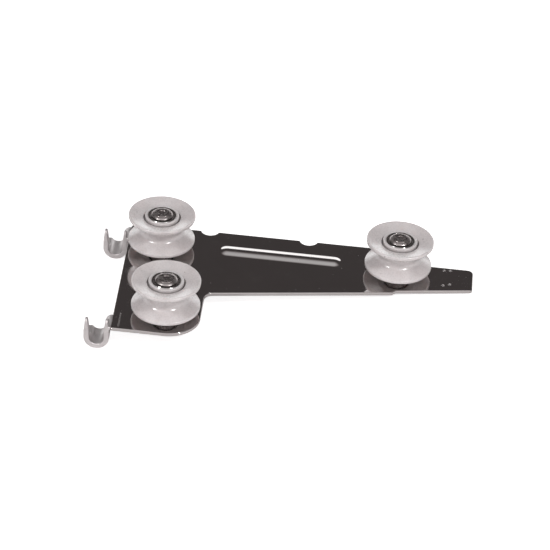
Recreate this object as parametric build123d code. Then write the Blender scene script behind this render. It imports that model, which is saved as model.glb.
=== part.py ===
from build123d import *
import math
import os

# Sliding door roller: a flat pressed carriage plate that carries three grooved nylon rollers on
# ball bearings and rivets, with two open hooks along one edge that take a round rod.
#
# Frame: the origin is on the front roller's axis, at the middle of its groove. +X runs along the
# plate's straight back edge towards its narrow tip, +Y runs towards that back edge, and +Z points
# up, to the side the rollers stand on. All sizes are in millimetres. The pieces are drawn with
# the plate's upper face at Z = 0, and all_nodes() moves them down to the groove's height.

# Carriage plate
PLATE_THICKNESS = 1.5
LEFT_EDGE_X = -22.4
FRONT_EDGE_Y = -14.9
LOBE_RIGHT_X = 15.4
LOBE_EDGE_DRAFT = 0.4
ARM_ROOT_INSET = 0.5
BACK_EDGE_Y = 66.8
TIP_BACK_Y = 56.6
TIP_END_X = 132.2
SHOULDER_X = 99.0
SHOULDER_RUN = 4.0
LEFT_EDGE_LEAN = 2.6
ARM_SLOPE = 10.45
ARM_FRONT_Y = 14.95
STEP_X = 96.6
STEP_RUN = 1.6
STEP_DEPTH = 1.4
LOBE_CORNER_RADIUS = 14.0
ARM_ROOT_RADIUS = 4.0
SHOULDER_RADIUS = 5.0
TIP_BACK_RADIUS = 2.6
TIP_FRONT_RADIUS = 1.6
BACK_CORNER_RADIUS = 3.0
SHARP_CORNER_RADIUS = 0.8
PLATE_EDGE_RADIUS = 0.35
NOTCH_RADIUS = 4.1
NOTCH_OUTSET = 1.0
NOTCH_X = (10.9, 56.4)

# Pressed stiffening bead: a crest arc that runs into the flat sheet through two hollow arcs
BEAD_START_X = 16.2
BEAD_END_X = 73.6
BEAD_Y = 52.3
BEAD_WIDTH = 9.0
BEAD_HEIGHT = 0.85
BEAD_CREST_SHARE = 0.62

# Small pressed marks
SCRIBE_LENGTH = 9.5
SCRIBE_WIDTH = 0.5
SCRIBE_CENTRE = (-18.8, -8.2)
DIMPLE_RADIUS = 0.7
DIMPLE_DEPTH = 0.3
DIMPLE_CENTRES = ((119.1, 54.4), (121.9, 54.8), (119.0, 42.7), (121.9, 43.9))

# Roller axes on the plate
FRONT_AXIS = (0.0, 0.0)
REAR_AXIS = (-9.27, 50.21)
ARM_AXIS = (98.04, 49.21)

# Grooved nylon tyre
ROLLER_DIAMETER = 30.0
ROLLER_WIDTH = 13.84
ROLLER_GAP = 3.92
RIM_THICKNESS = 1.35
GROOVE_WAIST_RADIUS = 9.2
GROOVE_FLANK_SLOPE = 33.0
GROOVE_BOTTOM_RADIUS = 3.2
RIM_LAND = 0.7
RIM_ROUNDING = 0.3
DISH_DEPTH = 1.55
DISH_INNER_RADIUS = 8.35
RING_GROOVE_DEPTH = 1.3
COLLAR_RADIUS = 7.7
COLLAR_DROP = 0.25
COLLAR_ROUNDING = 0.3
LOWER_BORE_RADIUS = 5.6
BEARING_RECESS = 0.05

# Miniature ball bearing, 5 x 13 x 4
BEARING_BORE_RADIUS = 2.5
BEARING_OUTER_RADIUS = 6.5
BEARING_WIDTH = 4.0
BALL_COUNT = 8
BALL_RADIUS = 1.0
BALL_PITCH_RADIUS = 4.5
RACE_CLEARANCE = 0.04
INNER_LAND_RADIUS = 3.85
OUTER_LAND_RADIUS = 5.15
BEARING_CHAMFER = 0.25
CAGE_HALF_WALL = 0.35
CAGE_BACK_DROP = 1.45
CAGE_FINGER_RISE = 0.5
POCKET_CLEARANCE = 0.06
SHIELD_RADIUS = 5.5
SHIELD_INNER_RADIUS = 3.95
SHIELD_THICKNESS = 0.2
SHIELD_RECESS = 0.25

# Axle rivet, the crowned washer under its head and the spacer bush it clamps
RIVET_RADIUS = 2.48
RIVET_HEAD_RADIUS = 3.4
RIVET_HEAD_HEIGHT = 0.25
RIVET_HEAD_ROUNDING = 0.12
RIVET_PIT_RADIUS = 1.75
RIVET_PIT_DEPTH = 0.2
TAIL_RADIUS = 4.4
TAIL_HEIGHT = 1.1
RIVET_HOLE_RADIUS = 2.55
WASHER_RADIUS = 4.85
WASHER_THICKNESS = 0.85
CROWN_START_RADIUS = 3.6
CROWN_RADIUS = 1.6
BUSH_NECK_RADIUS = 3.4
BUSH_SHOULDER_RADIUS = 5.1
BUSH_SHOULDER_HEIGHT = 6.0
BUSH_EDGE_CHAMFER = 0.3

# Rod hooks
ROD_AXIS_OFFSET = 6.1
ROD_AXIS_Z = -6.3
HOOK_INNER_RADIUS = 3.2
HOOK_WALL = 2.3
HOOK_LENGTH = 11.6
HOOK_STARTS = {"front_rod_hook": -14.9, "rear_rod_hook": 53.9}
SADDLE_TOP_Z = -7.6
PRONG_WIDTH = 3.6
PRONG_TOP_Z = 3.0
PRONG_ROOT_Z = -3.0
PRONG_TIP_WALL = 1.0
PRONG_TIP_OFFSET = 4.4
PRONG_TIP_RADIUS = 1.7
PRONG_ROOT_RADIUS = 2.0
BEND_LENGTH = 9.6
BEND_INNER_RADIUS = 0.6
HOOK_EDGE_RADIUS = 0.4

# Working allowances
OVERCUT = 5.0
POSITION_TOLERANCE = 0.01

# Derived sizes
ROLLER_RADIUS = ROLLER_DIAMETER / 2
ROLLER_MID_Z = ROLLER_GAP + ROLLER_WIDTH / 2
ROLLER_TOP_Z = ROLLER_GAP + ROLLER_WIDTH
BEARING_TOP_Z = ROLLER_TOP_Z - COLLAR_DROP - BEARING_RECESS
BEARING_BOTTOM_Z = BEARING_TOP_Z - BEARING_WIDTH
BEARING_MID_Z = BEARING_TOP_Z - BEARING_WIDTH / 2
BEND_RADIUS = ROD_AXIS_OFFSET - HOOK_INNER_RADIUS
ROLLER_AXES = {"front": FRONT_AXIS, "rear": REAR_AXIS, "arm": ARM_AXIS}


def on_axis(shape, axis):
    """Moves a shape modelled about the Z axis to a roller axis."""
    return Pos(axis[0], axis[1], 0) * shape


def turned(profile):
    """Turns a profile drawn as (radius, height) in the XZ plane into a solid of revolution."""
    return revolve(Plane.XZ * profile, Axis.Z)


def ring(inner_radius, outer_radius, bottom_z, top_z):
    """A plain flat ring about the Z axis."""
    mid_radius = (inner_radius + outer_radius) / 2
    section = Pos(mid_radius, (bottom_z + top_z) / 2) * Rectangle(
        outer_radius - inner_radius, top_z - bottom_z
    )
    return turned(section)


def edges_at_height(shape, z):
    """The edges of a shape that lie flat at height z."""
    return shape.edges().filter_by_position(Axis.Z, z - POSITION_TOLERANCE, z + POSITION_TOLERANCE)


def left_edge_x(y):
    """X of the plate's left edge at a given Y: the edge leans a little from square."""
    return LEFT_EDGE_X - y * math.tan(math.radians(LEFT_EDGE_LEAN))


def arm_front_y(x):
    """Y of the arm's sloping front edge at a given X."""
    return ARM_FRONT_Y + x * math.tan(math.radians(ARM_SLOPE))


# ---------------------------------------------------------------- carriage plate


def plate_corners():
    """Corners of the plate's outline, counter-clockwise, each with its corner radius."""
    arm_root_x = LOBE_RIGHT_X - ARM_ROOT_INSET
    arm_root = (arm_root_x, arm_front_y(arm_root_x))
    step_start = (STEP_X, arm_front_y(STEP_X))
    step_end_x = STEP_X + STEP_RUN
    step_end = (step_end_x, arm_front_y(step_end_x) + STEP_DEPTH)
    tip_front = (TIP_END_X, arm_front_y(TIP_END_X) + STEP_DEPTH)
    return (
        ((left_edge_x(FRONT_EDGE_Y), FRONT_EDGE_Y), SHARP_CORNER_RADIUS),
        ((LOBE_RIGHT_X + LOBE_EDGE_DRAFT, FRONT_EDGE_Y), LOBE_CORNER_RADIUS),
        (arm_root, ARM_ROOT_RADIUS),
        (step_start, SHARP_CORNER_RADIUS),
        (step_end, SHARP_CORNER_RADIUS),
        (tip_front, TIP_FRONT_RADIUS),
        ((TIP_END_X, TIP_BACK_Y), TIP_BACK_RADIUS),
        ((SHOULDER_X + SHOULDER_RUN, TIP_BACK_Y), SHOULDER_RADIUS),
        ((SHOULDER_X, BACK_EDGE_Y), SHOULDER_RADIUS),
        ((left_edge_x(BACK_EDGE_Y), BACK_EDGE_Y), BACK_CORNER_RADIUS),
    )


def plate_outline():
    """The outline as a face, with every corner rounded and the two edge notches taken out."""
    corners = plate_corners()
    outline = Polygon(*[corner for corner, radius in corners], align=None)
    for corner, radius in corners:
        vertex = outline.vertices().sort_by_distance((corner[0], corner[1], 0))[0]
        outline = fillet(vertex, radius)
    for notch_x in NOTCH_X:
        outline -= Pos(notch_x, BACK_EDGE_Y + NOTCH_OUTSET) * Circle(NOTCH_RADIUS)
    return outline


def bead_section(depth):
    """Half of the bead's section as (distance from its middle, height), closed down to -depth."""
    slope = 2 * math.atan(BEAD_HEIGHT / (BEAD_WIDTH / 2))
    radii = BEAD_WIDTH / 2 / math.sin(slope)
    crest_radius = radii * BEAD_CREST_SHARE
    join = (crest_radius * math.sin(slope), BEAD_HEIGHT - crest_radius * (1 - math.cos(slope)))
    crest_mid = (
        crest_radius * math.sin(slope / 2),
        BEAD_HEIGHT - crest_radius * (1 - math.cos(slope / 2)),
    )
    foot_radius = radii - crest_radius
    foot_mid = (
        BEAD_WIDTH / 2 - foot_radius * math.sin(slope / 2),
        foot_radius * (1 - math.cos(slope / 2)),
    )
    lines = [
        ThreePointArc((0, BEAD_HEIGHT), crest_mid, join),
        ThreePointArc(join, foot_mid, (BEAD_WIDTH / 2, 0)),
        Line((BEAD_WIDTH / 2, 0), (BEAD_WIDTH / 2, -depth)),
        Line((BEAD_WIDTH / 2, -depth), (0, -depth)),
        Line((0, -depth), (0, BEAD_HEIGHT)),
    ]
    return make_face(Curve() + lines)


def bead_form(depth):
    """The bead as a solid form: a straight ridge between two domed ends, resting at Z = 0."""
    half = bead_section(depth)
    first_x = BEAD_START_X + BEAD_WIDTH / 2
    last_x = BEAD_END_X - BEAD_WIDTH / 2
    run = last_x - first_x
    ridge_half = extrude(Plane.YZ * half, amount=run)
    ridge = Pos(first_x, BEAD_Y, 0) * (ridge_half + mirror(ridge_half, Plane.XZ))
    dome = turned(half)
    return ridge + Pos(first_x, BEAD_Y, 0) * dome + Pos(last_x, BEAD_Y, 0) * dome


def carriage_plate():
    """Pressed sheet plate with its bead, notches, rivet holes and small marks."""
    sheet = extrude(plate_outline(), amount=-PLATE_THICKNESS)
    rims = edges_at_height(sheet, 0)
    sheet = fillet(rims, PLATE_EDGE_RADIUS)
    raised = bead_form(PLATE_THICKNESS / 2)
    hollow = Pos(0, 0, -PLATE_THICKNESS) * bead_form(OVERCUT)
    plate = sheet + raised - hollow
    for axis in ROLLER_AXES.values():
        plate -= on_axis(Cylinder(RIVET_HOLE_RADIUS, 2 * OVERCUT), axis)
    plate -= Pos(SCRIBE_CENTRE[0], SCRIBE_CENTRE[1], 0) * scribe_cutter()
    for dimple_x, dimple_y in DIMPLE_CENTRES:
        plate -= Pos(dimple_x, dimple_y, 0) * dimple_cutter()
    return plate


def scribe_cutter():
    """A square bar on its corner, which leaves a V-shaped line along the plate's left edge."""
    side = SCRIBE_WIDTH / math.sqrt(2)
    return Rot(0, 0, LEFT_EDGE_LEAN) * Rot(0, 45, 0) * Box(side, SCRIBE_LENGTH, side)


def dimple_cutter():
    """A ball that leaves a shallow round dimple."""
    ball_radius = (DIMPLE_RADIUS**2 + DIMPLE_DEPTH**2) / (2 * DIMPLE_DEPTH)
    return Pos(0, 0, ball_radius - DIMPLE_DEPTH) * Sphere(ball_radius)


# ---------------------------------------------------------------- rod hooks


def hook_profile():
    """The hook seen along the rod: a U whose two walls thin down towards the prongs' tips."""
    outer = HOOK_INNER_RADIUS + HOOK_WALL
    tip_outer = PRONG_TIP_OFFSET + PRONG_TIP_WALL / 2
    tip_inner = PRONG_TIP_OFFSET - PRONG_TIP_WALL / 2
    lines = Curve() + [
        Line((-tip_outer, PRONG_TOP_Z), (-outer, PRONG_ROOT_Z)),
        Line((-outer, PRONG_ROOT_Z), (-outer, ROD_AXIS_Z)),
        ThreePointArc((-outer, ROD_AXIS_Z), (0, ROD_AXIS_Z - outer), (outer, ROD_AXIS_Z)),
        Line((outer, ROD_AXIS_Z), (outer, PRONG_ROOT_Z)),
        Line((outer, PRONG_ROOT_Z), (tip_outer, PRONG_TOP_Z)),
        Line((tip_outer, PRONG_TOP_Z), (tip_inner, PRONG_TOP_Z)),
        Line((tip_inner, PRONG_TOP_Z), (HOOK_INNER_RADIUS, PRONG_ROOT_Z)),
        Line((HOOK_INNER_RADIUS, PRONG_ROOT_Z), (HOOK_INNER_RADIUS, ROD_AXIS_Z)),
        ThreePointArc(
            (HOOK_INNER_RADIUS, ROD_AXIS_Z),
            (0, ROD_AXIS_Z - HOOK_INNER_RADIUS),
            (-HOOK_INNER_RADIUS, ROD_AXIS_Z),
        ),
        Line((-HOOK_INNER_RADIUS, ROD_AXIS_Z), (-HOOK_INNER_RADIUS, PRONG_ROOT_Z)),
        Line((-HOOK_INNER_RADIUS, PRONG_ROOT_Z), (-tip_inner, PRONG_TOP_Z)),
        Line((-tip_inner, PRONG_TOP_Z), (-tip_outer, PRONG_TOP_Z)),
    ]
    return make_face(lines)


def hook_side():
    """The hook seen from the side: a long saddle with one round-topped prong at its front end."""
    bottom_z = ROD_AXIS_Z - HOOK_INNER_RADIUS - HOOK_WALL
    corners = [
        (0, bottom_z),
        (HOOK_LENGTH, bottom_z),
        (HOOK_LENGTH, SADDLE_TOP_Z),
        (PRONG_WIDTH, SADDLE_TOP_Z),
        (PRONG_WIDTH, PRONG_TOP_Z),
        (0, PRONG_TOP_Z),
    ]
    side = Polygon(*corners, align=None)
    radii = {2: SHARP_CORNER_RADIUS, 3: PRONG_ROOT_RADIUS, 4: PRONG_TIP_RADIUS, 5: PRONG_TIP_RADIUS}
    for index, radius in radii.items():
        vertex = side.vertices().sort_by_distance((corners[index][0], corners[index][1], 0))[0]
        side = fillet(vertex, radius)
    return side


def hook_bend():
    """The bend that carries the hook's near wall up and over to the plate's left edge."""
    outer = HOOK_INNER_RADIUS + HOOK_WALL
    turn = math.sqrt(0.5)
    top_mid = (ROD_AXIS_OFFSET - BEND_RADIUS * turn, -BEND_RADIUS * (1 - turn))
    under_z = -PLATE_THICKNESS - BEND_INNER_RADIUS
    under_mid = (
        outer + BEND_INNER_RADIUS * (1 - turn),
        under_z + BEND_INNER_RADIUS * turn,
    )
    wall_x = ROD_AXIS_OFFSET - BEND_RADIUS
    lines = Curve() + [
        ThreePointArc((wall_x, -BEND_RADIUS), top_mid, (ROD_AXIS_OFFSET, 0)),
        Line((ROD_AXIS_OFFSET, 0), (ROD_AXIS_OFFSET, -PLATE_THICKNESS)),
        ThreePointArc((ROD_AXIS_OFFSET, -PLATE_THICKNESS), under_mid, (outer, under_z)),
        Line((outer, under_z), (outer, ROD_AXIS_Z)),
        Line((outer, ROD_AXIS_Z), (wall_x, ROD_AXIS_Z)),
        Line((wall_x, ROD_AXIS_Z), (wall_x, -BEND_RADIUS)),
    ]
    return make_face(lines)


def rod_hook(start_y):
    """One rod hook, with the end face of its bend flat against the plate's left edge."""
    along = extrude(Plane.XZ * hook_profile(), amount=-HOOK_LENGTH)
    width = 2 * (ROD_AXIS_OFFSET + OVERCUT)
    across = Pos(-width / 2, 0, 0) * extrude(Plane.YZ * hook_side(), amount=width)
    hook = (along & across) + extrude(Plane.XZ * hook_bend(), amount=-BEND_LENGTH)
    hook = fillet(hook.faces().sort_by(Axis.Y)[0].edges(), HOOK_EDGE_RADIUS)
    lean = math.radians(LEFT_EDGE_LEAN)
    axis_x = left_edge_x(start_y) - ROD_AXIS_OFFSET / math.cos(lean)
    return Pos(axis_x, start_y, 0) * Rot(0, 0, LEFT_EDGE_LEAN) * hook


# ---------------------------------------------------------------- rollers


def tyre_section():
    """Half section of the tyre as (radius, height), from its bearing seat out to the groove."""
    top = ROLLER_WIDTH / 2
    lip = top - RIM_THICKNESS
    flank_depth = ROLLER_RADIUS - GROOVE_WAIST_RADIUS
    waist = lip - flank_depth * math.tan(math.radians(GROOVE_FLANK_SLOPE))
    collar_top = top - COLLAR_DROP
    dish_foot = top - DISH_DEPTH
    ring_floor = dish_foot - RING_GROOVE_DEPTH
    seat_floor = BEARING_BOTTOM_Z - ROLLER_MID_Z
    land_radius = ROLLER_RADIUS - RIM_LAND
    lines = Curve() + [
        Line((BEARING_OUTER_RADIUS, seat_floor), (BEARING_OUTER_RADIUS, collar_top)),
        Line((BEARING_OUTER_RADIUS, collar_top), (COLLAR_RADIUS, collar_top)),
        Line((COLLAR_RADIUS, collar_top), (COLLAR_RADIUS, ring_floor)),
        Line((COLLAR_RADIUS, ring_floor), (DISH_INNER_RADIUS, ring_floor)),
        Line((DISH_INNER_RADIUS, ring_floor), (DISH_INNER_RADIUS, dish_foot)),
        Line((DISH_INNER_RADIUS, dish_foot), (land_radius, top)),
        Line((land_radius, top), (ROLLER_RADIUS, top)),
        Line((ROLLER_RADIUS, top), (ROLLER_RADIUS, lip)),
        Line((ROLLER_RADIUS, lip), (GROOVE_WAIST_RADIUS, waist)),
        Line((GROOVE_WAIST_RADIUS, waist), (GROOVE_WAIST_RADIUS, -waist)),
        Line((GROOVE_WAIST_RADIUS, -waist), (ROLLER_RADIUS, -lip)),
        Line((ROLLER_RADIUS, -lip), (ROLLER_RADIUS, -top)),
        Line((ROLLER_RADIUS, -top), (land_radius, -top)),
        Line((land_radius, -top), (DISH_INNER_RADIUS, -dish_foot)),
        Line((DISH_INNER_RADIUS, -dish_foot), (LOWER_BORE_RADIUS, -dish_foot)),
        Line((LOWER_BORE_RADIUS, -dish_foot), (LOWER_BORE_RADIUS, seat_floor)),
        Line((LOWER_BORE_RADIUS, seat_floor), (BEARING_OUTER_RADIUS, seat_floor)),
    ]
    section = make_face(lines)
    rounded = [
        ((ROLLER_RADIUS, top), RIM_ROUNDING),
        ((ROLLER_RADIUS, -top), RIM_ROUNDING),
        ((ROLLER_RADIUS, lip), RIM_ROUNDING),
        ((ROLLER_RADIUS, -lip), RIM_ROUNDING),
        ((GROOVE_WAIST_RADIUS, waist), GROOVE_BOTTOM_RADIUS),
        ((GROOVE_WAIST_RADIUS, -waist), GROOVE_BOTTOM_RADIUS),
        ((land_radius, top), RIM_ROUNDING),
        ((land_radius, -top), RIM_ROUNDING),
        ((BEARING_OUTER_RADIUS, collar_top), COLLAR_ROUNDING),
        ((COLLAR_RADIUS, collar_top), COLLAR_ROUNDING),
        ((DISH_INNER_RADIUS, dish_foot), COLLAR_ROUNDING),
    ]
    for corner, radius in rounded:
        vertex = section.vertices().sort_by_distance((corner[0], corner[1], 0))[0]
        section = fillet(vertex, radius)
    return section


def tyre():
    """Nylon tyre: a V groove with a rounded bottom, between two flanges with dished faces."""
    return Pos(0, 0, ROLLER_MID_Z) * turned(tyre_section())


def race_groove():
    """The ring-shaped space the balls run in, with its running clearance."""
    return Pos(0, 0, BEARING_MID_Z) * Torus(BALL_PITCH_RADIUS, BALL_RADIUS + RACE_CLEARANCE)


def bearing_inner_ring():
    """Bearing's inner ring, clamped between the spacer bush and the rivet's head."""
    blank = ring(BEARING_BORE_RADIUS, INNER_LAND_RADIUS, BEARING_BOTTOM_Z, BEARING_TOP_Z)
    return blank - race_groove()


def bearing_outer_ring():
    """Bearing's outer ring, with a shallow seat at each end for its shield."""
    blank = ring(OUTER_LAND_RADIUS, BEARING_OUTER_RADIUS, BEARING_BOTTOM_Z, BEARING_TOP_Z)
    outer_rims = blank.edges().filter_by(GeomType.CIRCLE).sort_by(SortBy.RADIUS)[-2:]
    blank = chamfer(outer_rims, BEARING_CHAMFER)
    seat_depth = SHIELD_RECESS + SHIELD_THICKNESS
    upper_seat = ring(BEARING_BORE_RADIUS, SHIELD_RADIUS, BEARING_TOP_Z - seat_depth, BEARING_TOP_Z)
    lower_seat = mirrored_about_bearing(upper_seat)
    return blank - race_groove() - upper_seat - lower_seat


def mirrored_about_bearing(shape):
    """The same shape on the other face of the bearing."""
    return mirror(shape, Plane.XY.offset(BEARING_MID_Z))


def bearing_upper_shield():
    """Thin pressed shield, held in the outer ring just clear of the inner one."""
    top_z = BEARING_TOP_Z - SHIELD_RECESS
    return ring(SHIELD_INNER_RADIUS, SHIELD_RADIUS, top_z - SHIELD_THICKNESS, top_z)


def bearing_lower_shield():
    """The shield on the plate's side of the bearing."""
    return mirrored_about_bearing(bearing_upper_shield())


def ball_places():
    """Centres of the balls on their pitch circle."""
    return PolarLocations(BALL_PITCH_RADIUS, BALL_COUNT)


def bearing_balls():
    """All the balls of one bearing, as separate solids in one node."""
    balls = [place * Sphere(BALL_RADIUS) for place in ball_places()]
    return Pos(0, 0, BEARING_MID_Z) * Compound(children=balls)


def bearing_cage():
    """Crown cage: a thin back ring with fingers that keep the balls evenly apart."""
    cage = ring(
        BALL_PITCH_RADIUS - CAGE_HALF_WALL,
        BALL_PITCH_RADIUS + CAGE_HALF_WALL,
        -CAGE_BACK_DROP,
        CAGE_FINGER_RISE,
    )
    for place in ball_places():
        cage -= place * Sphere(BALL_RADIUS + POCKET_CLEARANCE)
    return Pos(0, 0, BEARING_MID_Z) * cage


# ---------------------------------------------------------------- axles


def axle_rivet():
    """Rivet: a flat round head with a shallow pit, a plain shank, and a domed tail under the plate."""
    seat_z = BEARING_TOP_Z + WASHER_THICKNESS
    top_z = seat_z + RIVET_HEAD_HEIGHT
    pit_z = top_z - RIVET_PIT_DEPTH
    tail_z = -PLATE_THICKNESS - TAIL_HEIGHT
    dome_radius = (TAIL_RADIUS**2 + TAIL_HEIGHT**2) / (2 * TAIL_HEIGHT)
    half_angle = math.asin(TAIL_RADIUS / dome_radius) / 2
    dome_mid = (
        dome_radius * math.sin(half_angle),
        tail_z + dome_radius * (1 - math.cos(half_angle)),
    )
    lines = Curve() + [
        ThreePointArc((0, tail_z), dome_mid, (TAIL_RADIUS, -PLATE_THICKNESS)),
        Line((TAIL_RADIUS, -PLATE_THICKNESS), (RIVET_RADIUS, -PLATE_THICKNESS)),
        Line((RIVET_RADIUS, -PLATE_THICKNESS), (RIVET_RADIUS, seat_z)),
        Line((RIVET_RADIUS, seat_z), (RIVET_HEAD_RADIUS, seat_z)),
        Line((RIVET_HEAD_RADIUS, seat_z), (RIVET_HEAD_RADIUS, top_z)),
        Line((RIVET_HEAD_RADIUS, top_z), (RIVET_PIT_RADIUS, top_z)),
        Line((RIVET_PIT_RADIUS, top_z), (RIVET_PIT_RADIUS, pit_z)),
        Line((RIVET_PIT_RADIUS, pit_z), (0, pit_z)),
        Line((0, pit_z), (0, tail_z)),
    ]
    section = make_face(lines)
    for corner_radius in (RIVET_HEAD_RADIUS, RIVET_PIT_RADIUS):
        vertex = section.vertices().sort_by_distance((corner_radius, top_z, 0))[0]
        section = fillet(vertex, RIVET_HEAD_ROUNDING)
    return turned(section)


def head_washer():
    """Crowned washer between the bearing's inner ring and the rivet's head."""
    top_z = BEARING_TOP_Z + WASHER_THICKNESS
    crown_z = top_z - CROWN_RADIUS
    end_angle = math.acos((WASHER_RADIUS - CROWN_START_RADIUS) / CROWN_RADIUS)
    mid_angle = (math.pi / 2 + end_angle) / 2
    crown_mid = (
        CROWN_START_RADIUS + CROWN_RADIUS * math.cos(mid_angle),
        crown_z + CROWN_RADIUS * math.sin(mid_angle),
    )
    crown_end = (WASHER_RADIUS, crown_z + CROWN_RADIUS * math.sin(end_angle))
    lines = Curve() + [
        Line((BEARING_BORE_RADIUS, BEARING_TOP_Z), (BEARING_BORE_RADIUS, top_z)),
        Line((BEARING_BORE_RADIUS, top_z), (CROWN_START_RADIUS, top_z)),
        ThreePointArc((CROWN_START_RADIUS, top_z), crown_mid, crown_end),
        Line(crown_end, (WASHER_RADIUS, BEARING_TOP_Z)),
        Line((WASHER_RADIUS, BEARING_TOP_Z), (BEARING_BORE_RADIUS, BEARING_TOP_Z)),
    ]
    return turned(make_face(lines))


def spacer_bush():
    """Turned bush that stands the bearing's inner ring off the plate."""
    shoulder = ring(BEARING_BORE_RADIUS, BUSH_SHOULDER_RADIUS, 0, BUSH_SHOULDER_HEIGHT)
    edges = shoulder.edges().filter_by(GeomType.CIRCLE).sort_by(SortBy.RADIUS)[-2:]
    shoulder = chamfer(edges, BUSH_EDGE_CHAMFER)
    neck = ring(BEARING_BORE_RADIUS, BUSH_NECK_RADIUS, BUSH_SHOULDER_HEIGHT / 2, BEARING_BOTTOM_Z)
    return shoulder + neck


# ---------------------------------------------------------------- all nodes

ROLLER_NODES = {
    "tyre": tyre,
    "bearing_outer_ring": bearing_outer_ring,
    "bearing_inner_ring": bearing_inner_ring,
    "bearing_upper_shield": bearing_upper_shield,
    "bearing_lower_shield": bearing_lower_shield,
    "bearing_balls": bearing_balls,
    "bearing_cage": bearing_cage,
    "axle_rivet": axle_rivet,
    "head_washer": head_washer,
    "spacer_bush": spacer_bush,
}


def all_nodes():
    """Every separate piece of the assembly by name, in its place."""
    nodes = {"carriage_plate": carriage_plate()}
    for name, start_y in HOOK_STARTS.items():
        nodes[name] = rod_hook(start_y)
    for place, axis in ROLLER_AXES.items():
        for part, make in ROLLER_NODES.items():
            nodes[f"{place}_{part}"] = on_axis(make(), axis)
    return {name: Pos(0, 0, -ROLLER_MID_Z) * shape for name, shape in nodes.items()}


os.makedirs("parts", exist_ok=True)
for node_name, node_shape in all_nodes().items():
    export_step(node_shape, f"parts/{node_name}.step")
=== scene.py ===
import math

import bpy
from mathutils import Matrix, Quaternion, Vector


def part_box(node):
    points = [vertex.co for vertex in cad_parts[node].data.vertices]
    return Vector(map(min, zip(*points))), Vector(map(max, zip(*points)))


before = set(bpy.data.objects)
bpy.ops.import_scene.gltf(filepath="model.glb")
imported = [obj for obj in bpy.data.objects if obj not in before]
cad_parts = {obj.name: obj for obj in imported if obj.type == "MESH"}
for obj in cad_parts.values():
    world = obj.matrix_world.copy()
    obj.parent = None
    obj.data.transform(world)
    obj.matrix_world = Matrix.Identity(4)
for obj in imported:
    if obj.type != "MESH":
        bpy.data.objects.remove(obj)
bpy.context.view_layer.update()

# Places and distances are in metres, in the frame's own axes, angles in degrees, and surface detail
# in millimetres. Colours are linear.
MM = 0.001

# Camera: where it stands round the part. Lens and sensor are in millimetres.
CAMERA_AZIMUTH = 3.855
CAMERA_ELEVATION = 34.733
CAMERA_ROLL = 3.684
CAMERA_DISTANCE = 0.93835
CAMERA_LENS = 138.43
CAMERA_SENSOR = 36.0
# What it aims at, from the middle of the plate's box
AIM_FROM_PLATE_MIDDLE = Vector((-9.1, 5.6, 4.25)) * MM

# Floor: a disc of pale paper. Only the camera sees its glow, which keeps it near white.
FLOOR_RADIUS = 3.0
FLOOR_SIDES = 96
FLOOR_ALBEDO = (0.86, 0.85, 0.85, 1.0)
FLOOR_FIBRE = (0.7, 0.7, 0.7, 1)
FLOOR_GLOW = 0.78

# Nearest and farthest that the camera sees
CAMERA_NEAR = CAMERA_DISTANCE / 100
CAMERA_FAR = FLOOR_RADIUS * 4

# Surroundings, as the part reflects them. Brightness is a radiance, 1 being paper white. The camera
# itself sees a plain white backdrop.
BACKDROP = 1.0
# Going up from the floor: a bright horizon, a dark band, then a soft ceiling
HORIZON_TOP = 17.0
DARK_START = 20.5
DARK_END = 44.0
OVERHEAD_START = 68.0
OVERHEAD_GLOW = 0.62
# Going round, the horizon and the dark band each have one glow straight behind the part and another
# to its sides. A half width is where the first starts to fade into the second.
HORIZON_GLOW_BEHIND = 1.6
HORIZON_GLOW_ASIDE = 0.55
HORIZON_HALF_WIDTH = 22.0
DARK_GLOW_BEHIND = 0.066
DARK_GLOW_ASIDE = 0.09
DARK_HALF_WIDTH = 75.0
SIDE_FADE = 28.0
# Light from the dark band's heights is slightly warm all the way round, and the rest is white
DARK_TINT = (1.0, 0.90, 0.895, 1.0)
WHITE = (1, 1, 1, 1)
# On the camera's side a broad fill replaces both. It comes in between two angles from straight behind.
FRONT_GLOW = 0.85
FRONT_START = 112.0
FRONT_END = 150.0
# name: (azimuth from the camera, elevation, distance, width, height, watts)
SOFTBOXES = {
    "right_softbox": (43.0, 48.0, 1.00, 0.09, 0.09, 2.5),
    "left_softbox": (-58.0, 46.0, 1.00, 0.09, 0.09, 1.9),
}

ROLLERS = ("front", "rear", "arm")

# The narrow groove round the collar of each roller, where shade is painted into the nylon's colour, in
# millimetres.
# Its mouth is a height above the middle of the roller. The painted shade is darkest from the shade depth
# down.
COLLAR_GROOVE_RADIUS = 8.0
COLLAR_GROOVE_HALF_WIDTH = 0.45
COLLAR_GROOVE_MOUTH = 5.45
COLLAR_GROOVE_SHADE_DEPTH = 0.4

# Colours. Each pair is a material's lighter and darker tone, and the rest lie over a pair.
PLATE_TONES = ((0.66, 0.63, 0.625, 1), (0.58, 0.55, 0.545, 1))
PLATE_STAIN = (0.40, 0.37, 0.37, 1)
PLATE_SCRATCH = (0.80, 0.78, 0.78, 1)
PLATE_DUST = (0.42, 0.40, 0.40, 1)
HOOK_TONES = ((0.82, 0.79, 0.79, 1), (0.74, 0.71, 0.71, 1))
HOOK_PIT = (0.40, 0.38, 0.38, 1)
NYLON_TONES = ((0.75, 0.715, 0.715, 1), (0.69, 0.655, 0.655, 1))
CAGE_TONES = ((0.62, 0.57, 0.50, 1), (0.54, 0.50, 0.44, 1))
NYLON_GRIME = (0.42, 0.39, 0.385, 1)
NYLON_SPECK = (0.13, 0.115, 0.11, 1)
# Painted shade: a dark colour laid into the collar groove where shade falls
GROOVE_PAINTED_SHADE = (0.16, 0.145, 0.14, 1)
BRIGHT_STEEL = ((0.62, 0.60, 0.59, 1), (0.50, 0.48, 0.47, 1))
PLAIN_STEEL = ((0.50, 0.46, 0.455, 1), (0.41, 0.375, 0.37, 1))
STEEL_STAIN = (0.12, 0.11, 0.105, 1)

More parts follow.
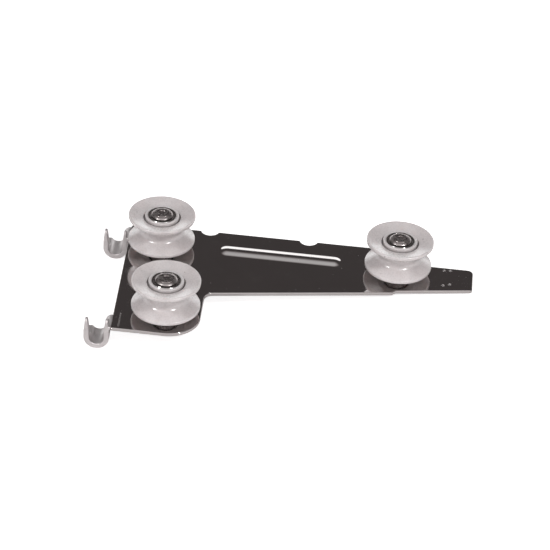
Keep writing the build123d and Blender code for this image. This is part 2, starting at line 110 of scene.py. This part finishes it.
# Grain and streaks: lumps to the millimetre along X, Y and Z. Mould rings: lumps to the millimetre.
PLATE_GRAIN = (0.04, 2.2, 0.04)
HOOK_STREAKS = (2.5, 0.25, 0.5)
MOULD_RINGS = 5.0

# A speck's hard middle, as a share of its radius, and a scratch's breaks, as a share of its length.
# A scratch's edge is how much further its noise rises from first trace to full line.
SPECK_CORE = 0.45
SCRATCH_PATCH = 0.8
SCRATCH_EDGE = 0.05
# Turned metal: how deep a ring is for its width, and how far roughness strays from the stated value
RING_DEPTH = 0.008
SMOOTHEST = 0.7
ROUGHEST = 1.4
# Rays that feel out each eased edge
EDGE_SAMPLES = 6


def direction(azimuth, elevation):
    """Unit vector from the part towards a place round it. Azimuth 0 is its front, 90 its tip end."""
    a = math.radians(azimuth)
    e = math.radians(elevation)
    return Vector((math.sin(a) * math.cos(e), -math.cos(a) * math.cos(e), math.sin(e)))


# ---------------------------------------------------------------- node-tree helper


class Shader:
    """Builds one node tree. Each method adds a node and returns the socket it makes."""

    def __init__(self, tree):
        self.tree = tree
        tree.nodes.clear()

    def add(self, kind, inputs, **settings):
        made = self.tree.nodes.new(kind)
        for name, value in settings.items():
            setattr(made, name, value)
        for key, value in inputs.items():
            if isinstance(value, bpy.types.NodeSocket):
                self.tree.links.new(value, made.inputs[key])
            else:
                made.inputs[key].default_value = value
        return made

    def math(self, operation, a, b=0.0):
        return self.add("ShaderNodeMath", {0: a, 1: b}, operation=operation).outputs[0]

    def vector(self, operation, a, b):
        made = self.add("ShaderNodeVectorMath", {0: a, 1: b}, operation=operation)
        return made.outputs["Value" if operation in ("DOT_PRODUCT", "LENGTH") else "Vector"]

    def millimetres(self):
        """The piece's own coordinates, in millimetres, so that detail turns with it."""
        place = self.add("ShaderNodeTexCoord", {}).outputs["Object"]
        return self.vector("MULTIPLY", place, (1 / MM,) * 3)

    def split(self, vector):
        return self.add("ShaderNodeSeparateXYZ", {0: vector}).outputs

    def join(self, x, y, z):
        return self.add("ShaderNodeCombineXYZ", {0: x, 1: y, 2: z}).outputs[0]

    def turned(self, vector, degrees):
        """The coordinates turned about Z."""
        made = self.add(
            "ShaderNodeVectorRotate",
            {"Vector": vector, "Angle": math.radians(degrees)},
            rotation_type="Z_AXIS",
        )
        return made.outputs[0]

    def noise(self, vector, size, detail=2.0, roughness=0.5):
        """Soft noise, 0 to 1, whose lumps are about size millimetres across."""
        made = self.add(
            "ShaderNodeTexNoise",
            {"Vector": vector, "Scale": 1 / size, "Detail": detail, "Roughness": roughness},
        )
        return made.outputs[0]

    def fade(self, value, low, high, start=0.0, end=1.0):
        """Runs smoothly from start to end as value goes from low to high."""
        if low > high:
            low, high, start, end = high, low, end, start
        made = self.add(
            "ShaderNodeMapRange",
            {"Value": value, "From Min": low, "From Max": high, "To Min": start, "To Max": end},
            interpolation_type="SMOOTHSTEP",
        )
        return made.outputs[0]

    def blend(self, factor, a, b):
        """Mixes two colours."""
        made = self.add("ShaderNodeMix", {0: factor, 6: a, 7: b}, data_type="RGBA")
        return made.outputs[2]

    def lerp(self, factor, a, b):
        """Mixes two plain values."""
        return self.add("ShaderNodeMix", {0: factor, 2: a, 3: b}, data_type="FLOAT").outputs[0]

    def overlaid(self, colour, mask, strength, over):
        """A colour with another laid over it where the mask is set."""
        return self.blend(self.math("MULTIPLY", mask, strength), colour, over)

    def raised(self, value, mask, by):
        """A value with an amount added to it where the mask is set."""
        return self.math("ADD", value, self.math("MULTIPLY", mask, by))

    def round_axis(self, place, axis):
        """Distance from an upright axis and height above the axis's middle, in millimetres."""
        x, y, z = self.split(self.vector("SUBTRACT", place, axis))
        return self.vector("LENGTH", self.join(x, y, 0.0), (0, 0, 0)), z

    def most(self, *values):
        """The largest of several masks."""
        result = values[0]
        for value in values[1:]:
            result = self.math("MAXIMUM", result, value)
        return result

    def specks(self, vector, spacing, radius, share):
        """Small round specks: a given share of the cells of a grid of that spacing holds one."""
        cells = self.add(
            "ShaderNodeTexVoronoi", {"Vector": vector, "Scale": 1 / spacing}, feature="F1"
        )
        reach = self.math("MULTIPLY", cells.outputs["Distance"], spacing)
        chance = self.split(cells.outputs["Color"])[0]
        inside = self.fade(reach, radius, radius * SPECK_CORE)
        return self.math("MULTIPLY", inside, self.math("GREATER_THAN", chance, 1 - share))

    def scratches(self, vector, degrees, length, width, rarity):
        """Thin broken lines in one direction."""
        stretch = (1 / length, 1 / width, 1 / length)
        along = self.vector("MULTIPLY", self.turned(vector, degrees), stretch)
        lines = self.noise(along, size=1.0, detail=1.0)
        breaks = self.noise(vector, size=length * SCRATCH_PATCH, detail=1.0)
        patches = self.fade(breaks, low=0.45, high=0.62)
        marks = self.fade(lines, low=rarity, high=rarity + SCRATCH_EDGE)
        return self.math("MULTIPLY", marks, patches)

    def bump(self, height, normal=None):
        """Surface relief from a height in millimetres."""
        inputs = {"Height": height, "Distance": MM, "Strength": 1.0}
        if normal is not None:
            inputs["Normal"] = normal
        return self.add("ShaderNodeBump", inputs).outputs[0]

    def soft_edges(self, radius):
        """Shading normal with every sharp edge eased by a radius in millimetres."""
        return self.add("ShaderNodeBevel", {"Radius": radius * MM}, samples=EDGE_SAMPLES).outputs[0]

    def principled(self, **inputs):
        named = {key.replace("_", " ").title(): value for key, value in inputs.items()}
        named = {key.replace("Ior", "IOR"): value for key, value in named.items()}
        surface = self.add("ShaderNodeBsdfPrincipled", named)
        self.output(surface.outputs[0])
        return surface

    def output(self, surface):
        self.add("ShaderNodeOutputMaterial", {"Surface": surface})


def new_material(name):
    material = bpy.data.materials.new(name)
    material.use_nodes = True
    return material, Shader(material.node_tree)


def finish_node(node, material):
    """Gives a CAD node its material in every slot it has."""
    mesh_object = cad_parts[node]
    for slot in mesh_object.material_slots:
        slot.material = material


def axis_of(node):
    """Middle of a round node, in millimetres."""
    low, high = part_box(node)
    return (low + high) / (2 * MM)


# ---------------------------------------------------------------- materials


def plate_metal():
    """Bright plated sheet: mirror-like, with handling scratches, dust and a faint rolled grain."""
    material, sh = new_material("plate_nickel")
    place = sh.millimetres()
    cloud = sh.noise(place, size=14.0, detail=3.0)
    smudge = sh.fade(sh.noise(place, size=7.0, detail=4.0, roughness=0.6), low=0.48, high=0.72)
    scratches = sh.most(
        sh.scratches(place, degrees=12.0, length=9.0, width=0.10, rarity=0.74),
        sh.scratches(place, degrees=-38.0, length=6.0, width=0.08, rarity=0.75),
        sh.scratches(place, degrees=76.0, length=7.0, width=0.09, rarity=0.75),
    )
    dust = sh.most(
        sh.specks(place, spacing=1.7, radius=0.15, share=0.05),
        sh.specks(place, spacing=4.1, radius=0.26, share=0.06),
    )
    stain = sh.fade(sh.noise(place, size=1.6, detail=4.0, roughness=0.7), low=0.62, high=0.74)
    grain = sh.noise(sh.vector("MULTIPLY", place, PLATE_GRAIN), size=1.0, detail=3.0)
    tone = sh.blend(cloud, *PLATE_TONES)
    tone = sh.overlaid(tone, stain, strength=0.35, over=PLATE_STAIN)
    tone = sh.overlaid(tone, scratches, strength=0.3, over=PLATE_SCRATCH)
    tone = sh.overlaid(tone, dust, strength=0.7, over=PLATE_DUST)
    metallic = sh.fade(dust, low=0.0, high=1.0, start=1.0, end=0.25)
    rough = sh.fade(cloud, low=0.2, high=0.8, start=0.045, end=0.085)
    rough = sh.raised(rough, smudge, by=0.07)
    rough = sh.raised(rough, scratches, by=0.15)
    rough = sh.raised(rough, dust, by=0.4)
    relief = sh.raised(0.0, sh.noise(place, size=18.0, detail=1.0), by=0.05)
    relief = sh.raised(relief, grain, by=0.0012)
    relief = sh.raised(relief, scratches, by=-0.0015)
    normal = sh.bump(relief, sh.soft_edges(0.25))
    sh.principled(base_color=tone, metallic=metallic, roughness=rough, normal=normal)
    return material


def hook_metal():
    """Satin plated steel of the rod hooks, with forming streaks, small pits and eased edges."""
    material, sh = new_material("hook_nickel")
    place = sh.millimetres()
    cloud = sh.noise(place, size=3.0, detail=4.0, roughness=0.6)
    streaks = sh.noise(sh.vector("MULTIPLY", place, HOOK_STREAKS), size=1.0, detail=4.0)
    pits = sh.specks(place, spacing=0.9, radius=0.12, share=0.25)
    tone = sh.blend(sh.fade(cloud, low=0.3, high=0.7), *HOOK_TONES)
    tone = sh.overlaid(tone, pits, strength=0.3, over=HOOK_PIT)
    rough = sh.fade(streaks, low=0.3, high=0.7, start=0.38, end=0.50)
    relief = sh.raised(0.0, streaks, by=0.002)
    relief = sh.raised(relief, pits, by=-0.004)
    normal = sh.bump(relief, sh.soft_edges(0.35))
    sh.principled(base_color=tone, metallic=1.0, roughness=rough, normal=normal)
    return material


def collar_groove_painted_shade(sh, radius, height):
    """Mask of painted shade in the narrow groove round the collar, deepening downwards from its mouth."""
    off_groove = sh.math("ABSOLUTE", sh.math("SUBTRACT", radius, COLLAR_GROOVE_RADIUS))
    in_groove = sh.math("LESS_THAN", off_groove, COLLAR_GROOVE_HALF_WIDTH)
    groove_floor = COLLAR_GROOVE_MOUTH - COLLAR_GROOVE_SHADE_DEPTH
    deep = sh.fade(height, COLLAR_GROOVE_MOUTH, groove_floor)
    upper = sh.math("GREATER_THAN", height, 0.0)
    return sh.math("MULTIPLY", in_groove, sh.math("MULTIPLY", deep, upper))


def moulded_nylon(name, axis, tones):
    """Natural nylon: waxy and slightly see-through, with mould turning rings and small dark specks."""
    material, sh = new_material(name)
    place = sh.millimetres()
    radius, height = sh.round_axis(place, axis)
    cloud = sh.noise(place, size=4.5, detail=3.0)
    mottle = sh.noise(place, size=0.7, detail=3.0, roughness=0.6)
    dirt = sh.most(
        sh.specks(place, spacing=2.3, radius=0.34, share=0.05),
        sh.specks(place, spacing=1.3, radius=0.20, share=0.03),
    )
    grime = sh.fade(sh.noise(place, size=2.4, detail=4.0, roughness=0.65), low=0.58, high=0.80)
    across = sh.math("MULTIPLY", radius, MOULD_RINGS)
    up = sh.math("MULTIPLY", height, MOULD_RINGS)
    rings = sh.noise(sh.join(across, 0.0, up), size=1.0, detail=2.0)
    painted_groove_shade = collar_groove_painted_shade(sh, radius, height)
    colour = sh.blend(sh.fade(cloud, low=0.3, high=0.7), *tones)
    colour = sh.overlaid(colour, grime, strength=0.22, over=NYLON_GRIME)
    # Painted shade: the collar groove is darkened as if shade falls in it
    colour = sh.overlaid(colour, painted_groove_shade, strength=0.5, over=GROOVE_PAINTED_SHADE)
    colour = sh.overlaid(colour, dirt, strength=0.75, over=NYLON_SPECK)
    rough = sh.fade(mottle, low=0.3, high=0.7, start=0.24, end=0.33)
    relief = sh.raised(0.0, mottle, by=0.005)
    relief = sh.raised(relief, rings, by=0.002)
    sh.principled(
        base_color=colour,
        roughness=rough,
        ior=1.53,
        subsurface_weight=0.85,
        subsurface_radius=(1.0, 0.96, 0.94),
        subsurface_scale=1.8 * MM,
        coat_weight=1.0,
        coat_ior=1.8,
        coat_roughness=0.20,
        normal=sh.bump(relief),
    )
    return material


def turned_metal(name, axis, tones, ring_size, roughness):
    """Turned or rolled metal: fine rings about its axis, with small stains."""
    material, sh = new_material(name)
    place = sh.millimetres()
    radius, height = sh.round_axis(place, axis)
    across = sh.math("DIVIDE", radius, ring_size)
    up = sh.math("DIVIDE", height, ring_size)
    rings = sh.noise(sh.join(across, 0.0, up), size=1.0, detail=3.0, roughness=0.6)
    cloud = sh.noise(place, size=1.8, detail=4.0, roughness=0.6)
    stain = sh.fade(sh.noise(place, size=0.8, detail=4.0, roughness=0.7), low=0.60, high=0.75)
    colour = sh.blend(sh.fade(rings, low=0.3, high=0.7), *tones)
    colour = sh.overlaid(colour, stain, strength=0.45, over=STEEL_STAIN)
    smoothest = roughness * SMOOTHEST
    roughest = roughness * ROUGHEST
    rough = sh.fade(cloud, low=0.25, high=0.75, start=smoothest, end=roughest)
    relief = sh.raised(0.0, rings, by=ring_size * RING_DEPTH)
    normal = sh.bump(relief, sh.soft_edges(0.12))
    sh.principled(base_color=colour, metallic=1.0, roughness=rough, normal=normal)
    return material


def finish_roller(place):
    """Materials of one roller's pieces, each turned about the roller's own axis."""
    axis = axis_of(f"{place}_tyre")

    def metal(name, tones, ring_size, roughness):
        return turned_metal(f"{place}_{name}_steel", axis, tones, ring_size, roughness)

    nylon = moulded_nylon(f"{place}_nylon", axis, NYLON_TONES)
    cage = moulded_nylon(f"{place}_cage_nylon", axis, CAGE_TONES)
    bearing = metal("bearing", BRIGHT_STEEL, ring_size=0.10, roughness=0.16)
    shield = metal("shield", PLAIN_STEEL, ring_size=0.14, roughness=0.24)
    ball = metal("ball", BRIGHT_STEEL, ring_size=0.30, roughness=0.06)
    rivet = metal("rivet", PLAIN_STEEL, ring_size=0.35, roughness=0.25)
    washer = metal("washer", PLAIN_STEEL, ring_size=0.35, roughness=0.30)
    bush = metal("bush", BRIGHT_STEEL, ring_size=0.18, roughness=0.24)
    finishes = {
        "tyre": nylon,
        "bearing_outer_ring": bearing,
        "bearing_inner_ring": bearing,
        "bearing_upper_shield": shield,
        "bearing_lower_shield": shield,
        "bearing_balls": ball,
        "bearing_cage": cage,
        "axle_rivet": rivet,
        "head_washer": washer,
        "spacer_bush": bush,
    }
    for piece, material in finishes.items():
        finish_node(f"{place}_{piece}", material)


# ---------------------------------------------------------------- studio


def floor_slope():
    """Tilt of the floor the part rests on, from the hooks' undersides up to the plate's tip, and the
    floor's height at the frame's origin."""
    hook_low, hook_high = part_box("front_rod_hook")
    plate_low, plate_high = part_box("carriage_plate")
    hook_middle = (hook_low.x + hook_high.x) / 2
    rise = plate_low.z - hook_low.z
    run = plate_high.x - hook_middle
    height_at_origin = hook_low.z + rise * -hook_middle / run
    return math.atan2(rise, run), height_at_origin


def floor_material():
    """Pale paper sweep. It can be seen through from below, so that the underside can be looked at."""
    material, sh = new_material("floor_paper")
    place = sh.millimetres()
    fibre = sh.noise(place, size=0.6, detail=3.0)
    tone = sh.overlaid(FLOOR_ALBEDO, fibre, strength=0.03, over=FLOOR_FIBRE)
    rays = sh.add("ShaderNodeLightPath", {}).outputs
    glow = sh.math("MULTIPLY", rays["Is Camera Ray"], FLOOR_GLOW)
    paper = sh.add("ShaderNodeBsdfDiffuse", {"Color": tone}).outputs[0]
    light = sh.add("ShaderNodeEmission", {"Strength": glow}).outputs[0]
    lit = sh.add("ShaderNodeAddShader", {0: paper, 1: light}).outputs[0]
    clear = sh.add("ShaderNodeBsdfTransparent", {}).outputs[0]
    below = sh.add("ShaderNodeNewGeometry", {}).outputs["Backfacing"]
    sh.output(sh.add("ShaderNodeMixShader", {0: below, 1: lit, 2: clear}).outputs[0])
    return material


def lay_floor():
    slope, height = floor_slope()
    bpy.ops.mesh.primitive_circle_add(vertices=FLOOR_SIDES, radius=FLOOR_RADIUS, fill_type="NGON")
    floor = bpy.context.object
    floor.name = "floor"
    floor.matrix_world = Matrix.Translation((0, 0, height)) @ Matrix.Rotation(-slope, 4, "Y")
    floor.data.materials.append(floor_material())
    return slope


def light_world(slope):
    """White backdrop for the camera. Reflections see a horizon, a dark band, a ceiling and a front fill."""
    world = bpy.data.worlds.new("studio")
    bpy.context.scene.world = world
    world.use_nodes = True
    sh = Shader(world.node_tree)
    look = sh.add("ShaderNodeTexCoord", {}).outputs["Generated"]
    up = Vector((-math.sin(slope), 0, math.cos(slope)))
    height = sh.vector("DOT_PRODUCT", look, tuple(up))
    elevation = sh.math("DEGREES", sh.math("ARCSINE", height))
    behind = -direction(CAMERA_AZIMUTH, 0)
    x, y, _ = sh.split(look)
    flat = sh.vector("NORMALIZE", sh.join(x, y, 0.0), (0, 0, 0))
    aside = sh.math("DEGREES", sh.math("ARCCOSINE", sh.vector("DOT_PRODUCT", flat, tuple(behind))))
    dark_end = DARK_HALF_WIDTH + SIDE_FADE
    band = sh.fade(aside, DARK_HALF_WIDTH, dark_end, DARK_GLOW_BEHIND, DARK_GLOW_ASIDE)
    white_end = HORIZON_HALF_WIDTH + SIDE_FADE
    horizon = sh.fade(aside, HORIZON_HALF_WIDTH, white_end, HORIZON_GLOW_BEHIND, HORIZON_GLOW_ASIDE)
    front = sh.fade(aside, FRONT_START, FRONT_END)
    band = sh.lerp(front, band, FRONT_GLOW)
    horizon = sh.lerp(front, horizon, FRONT_GLOW)
    above = sh.fade(elevation, DARK_END, OVERHEAD_START)
    low = sh.fade(elevation, DARK_START, HORIZON_TOP)
    glow = sh.lerp(above, band, OVERHEAD_GLOW)
    glow = sh.lerp(low, glow, horizon)
    seen = sh.add("ShaderNodeLightPath", {}).outputs["Is Camera Ray"]
    glow = sh.lerp(seen, glow, BACKDROP)
    tint = sh.blend(sh.most(above, low, seen), DARK_TINT, WHITE)
    background = sh.add("ShaderNodeBackground", {"Color": tint, "Strength": glow}).outputs[0]
    sh.add("ShaderNodeOutputWorld", {"Surface": background})


def hang_softboxes(target):
    for name, (azimuth, elevation, distance, width, height, watts) in SOFTBOXES.items():
        light = bpy.data.lights.new(name, "AREA")
        light.shape = "RECTANGLE"
        light.size = width
        light.size_y = height
        light.energy = watts
        holder = bpy.data.objects.new(name, light)
        bpy.context.collection.objects.link(holder)
        away = direction(CAMERA_AZIMUTH + azimuth, elevation)
        holder.location = target + away * distance
        holder.rotation_mode = "QUATERNION"
        holder.rotation_quaternion = (-away).to_track_quat("-Z", "Y")


def place_camera(target):
    data = bpy.data.cameras.new("camera")
    data.lens = CAMERA_LENS
    data.sensor_width = CAMERA_SENSOR
    data.clip_start = CAMERA_NEAR
    data.clip_end = CAMERA_FAR
    camera = bpy.data.objects.new("camera", data)
    bpy.context.collection.objects.link(camera)
    back = direction(CAMERA_AZIMUTH, CAMERA_ELEVATION)
    roll = Quaternion((0, 0, 1), math.radians(CAMERA_ROLL))
    camera.location = target + back * CAMERA_DISTANCE
    camera.rotation_mode = "QUATERNION"
    camera.rotation_quaternion = (-back).to_track_quat("-Z", "Y") @ roll
    bpy.context.scene.camera = camera


finish_node("carriage_plate", plate_metal())
hooks = hook_metal()
for hook in ("front_rod_hook", "rear_rod_hook"):
    finish_node(hook, hooks)
for roller in ROLLERS:
    finish_roller(roller)

plate_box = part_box("carriage_plate")
aim = (plate_box[0] + plate_box[1]) / 2 + AIM_FROM_PLATE_MIDDLE
light_world(lay_floor())
hang_softboxes(aim)
place_camera(aim)
bpy.context.scene.view_settings.view_transform = "Standard"
